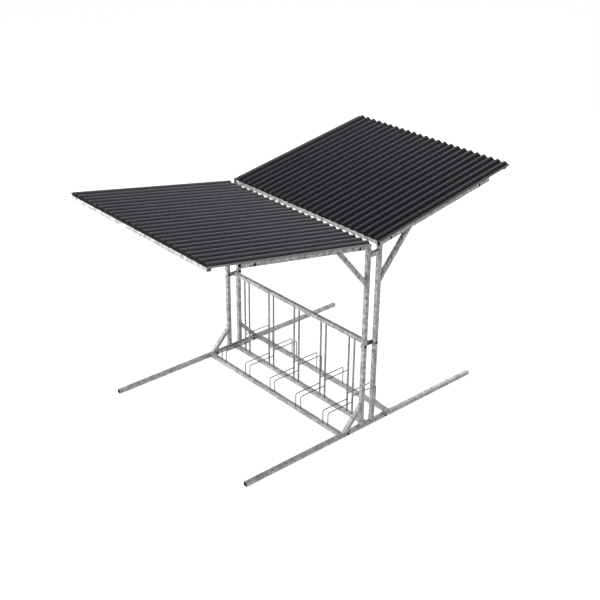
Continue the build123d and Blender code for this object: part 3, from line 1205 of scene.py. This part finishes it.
class SHELTER_OT_add_stage(bpy.types.Operator):
    """Add a pale floor, soft studio lights and the camera"""

    bl_idname = "shelter.add_stage"
    bl_label = "Add Stage"

    def execute(self, context):
        stage = context.scene.bike_shelter.stage
        self.add_floor(stage)
        self.add_sky(context, stage)
        self.add_light("key_light", *KEY_LIGHT, stage.key_power)
        self.add_light("back_light", *BACK_LIGHT, stage.back_power)
        self.add_camera(context, stage)
        context.scene.view_settings.view_transform = "Standard"
        return {"FINISHED"}

    def add_floor(self, stage):
        """A wide round floor under the shelter."""
        mesh = bpy.data.meshes.new("studio_floor")
        rim = ring(Vector(), ALONG, ACROSS, FLOOR_RADIUS, FLOOR_SIDES)
        mesh.from_pydata(rim, [], [list(range(FLOOR_SIDES))])
        material, tree, shader = new_material("Studio Floor")
        looks = {"Base Color": (*stage.floor_colour, 1.0), "Roughness": 0.9, "Specular IOR Level": 0.1}
        feed(tree, shader, looks)
        feed(tree, shader, {"Emission Color": WHITE, "Emission Strength": stage.floor_glow})
        mesh.materials.append(material)
        floor = new_object("studio_floor", mesh)

    def add_sky(self, context, stage):
        """Even light from all round, which the camera sees as a white backdrop."""
        world = bpy.data.worlds.new("Studio Sky")
        world.use_nodes = True
        tree = world.node_tree
        tree.nodes.clear()
        sky = first_of(tree, "ShaderNodeBackground", {"Color": WHITE, "Strength": stage.sky_light})
        backdrop = first_of(tree, "ShaderNodeBackground", {"Color": WHITE, "Strength": 1.0})
        seen = add_node(tree, "ShaderNodeLightPath").outputs["Is Camera Ray"]
        shown = first_of(tree, "ShaderNodeMixShader", {0: seen, 1: sky, 2: backdrop})
        add_node(tree, "ShaderNodeOutputWorld", {"Surface": shown})
        context.scene.world = world

    def add_light(self, name, azimuth, elevation, watts):
        """A square soft light that looks at the middle of the shelter."""
        light = bpy.data.lights.new(name, "AREA")
        light.shape = "SQUARE"
        light.size = LIGHT_SIZE
        light.energy = watts
        lamp = new_object(name, light)
        back = view_back(math.radians(azimuth), math.radians(elevation))
        lamp.location = (cad_low + cad_high) / 2 + back * LIGHT_DISTANCE
        lamp.rotation_euler = back.to_track_quat("Z", "Y").to_euler()

    def add_camera(self, context, stage):
        """The camera at the photo's angle."""
        data = bpy.data.cameras.new("camera")
        data.lens = stage.lens
        data.shift_x, data.shift_y = stage.shift
        camera = new_object("camera", data)
        back = view_back(stage.azimuth, stage.elevation)
        level = Vector((math.cos(stage.azimuth), math.sin(stage.azimuth), 0))
        upright = back.cross(level)
        right = level * math.cos(stage.roll) + upright * math.sin(stage.roll)
        up = upright * math.cos(stage.roll) - level * math.sin(stage.roll)
        turn = Matrix((right, up, back)).transposed().to_4x4()
        camera.matrix_world = Matrix.Translation(Vector(stage.target) + back * stage.distance) @ turn
        context.scene.camera = camera


class SHELTER_PT_sidebar(bpy.types.Panel):
    """The shelter's settings and steps"""

    bl_label = "Bike Shelter"
    bl_idname = "SHELTER_PT_sidebar"
    bl_space_type = "VIEW_3D"
    bl_region_type = "UI"
    bl_category = "Bike Shelter"

    def draw(self, context):
        settings = context.scene.bike_shelter
        for group in (settings.finishes, settings.fasteners, settings.welds, settings.stage):
            box = self.layout.box()
            for name in group.__annotations__:
                box.prop(group, name)
        for step in STEPS:
            self.layout.operator(step.bl_idname)


STEPS = (
    SHELTER_OT_finish_frame,
    SHELTER_OT_add_bolts,
    SHELTER_OT_add_roof_screws,
    SHELTER_OT_add_wave_fillers,
    SHELTER_OT_add_end_plugs,
    SHELTER_OT_add_welds,
    SHELTER_OT_add_stage,
)
CLASSES = (
    ShelterFinishes,
    ShelterFasteners,
    ShelterWelds,
    ShelterStage,
    ShelterSettings,
    *STEPS,
    SHELTER_PT_sidebar,
)


def register():
    """Register the settings, the steps and the sidebar."""
    for item in CLASSES:
        bpy.utils.register_class(item)
    bpy.types.Scene.bike_shelter = bpy.props.PointerProperty(type=ShelterSettings)


def unregister():
    """Take the settings, the steps and the sidebar away again."""
    del bpy.types.Scene.bike_shelter
    for item in reversed(CLASSES):
        bpy.utils.unregister_class(item)


def main():
    """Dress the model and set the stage."""
    register()
    bpy.ops.shelter.finish_frame()
    bpy.ops.shelter.add_bolts()
    bpy.ops.shelter.add_roof_screws()
    bpy.ops.shelter.add_wave_fillers()
    bpy.ops.shelter.add_end_plugs()
    bpy.ops.shelter.add_welds()
    bpy.ops.shelter.add_stage()


if __name__ == "__main__":
    main()
